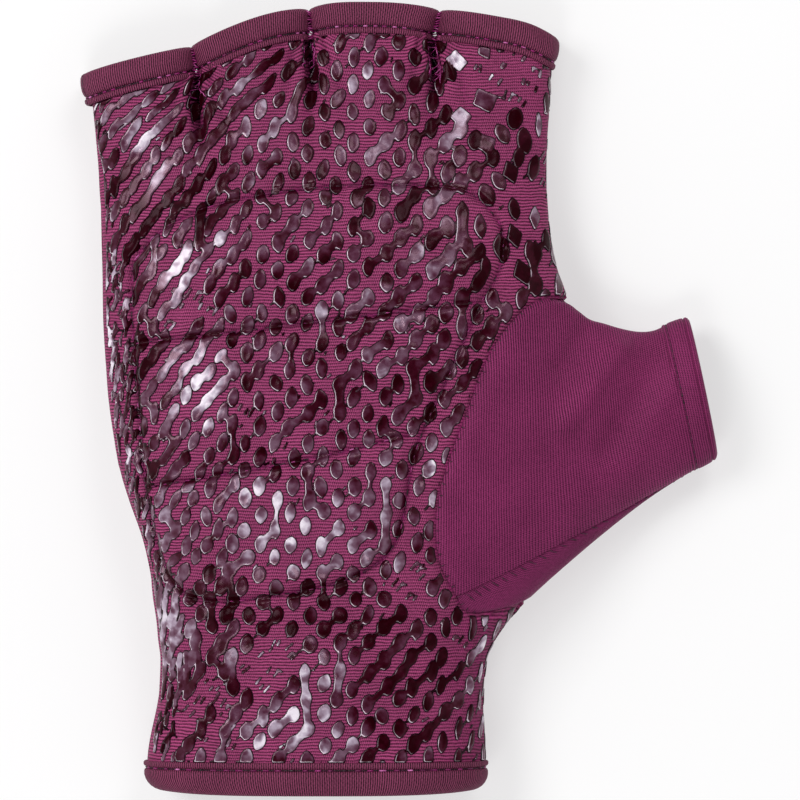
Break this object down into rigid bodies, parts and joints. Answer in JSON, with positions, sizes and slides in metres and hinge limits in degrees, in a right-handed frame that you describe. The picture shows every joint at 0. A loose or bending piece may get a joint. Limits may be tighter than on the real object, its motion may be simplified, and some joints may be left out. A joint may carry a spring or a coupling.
{
  "type": "fingerless training glove",
  "caption": "Fingerless knit training glove for the right hand, with a quilted palm pad, bound finger openings, a hemmed thumb and a bound cuff.",
  "frame": {"origin": "middle of the glove's outline, on the surface it lies on", "axes": "+Z out of the palm, +Y from the cuff to the fingers, +X towards the thumb"},
  "size_m": [0.1279, 0.1584, 0.0279],
  "materials": {
    "printed_fabric": "ribbed knit",
    "thumb_fabric": "ribbed knit",
    "binding_tape": "ribbed tape",
    "print_film": "glossy raised film",
    "sewing_thread": "twisted thread"
  },
  "bodies": {
    "root": {"palm_panel": "printed_fabric", "back_panel": "printed_fabric", "thumb_front_panel": "thumb_fabric", "thumb_back_panel": "thumb_fabric", "finger_binding_little": "binding_tape", "finger_binding_ring": "binding_tape", "finger_binding_middle": "binding_tape", "finger_binding_index": "binding_tape", "cuff_binding": "binding_tape", "thumb_hem": "thumb_fabric"}
  },
  "joints": []
}
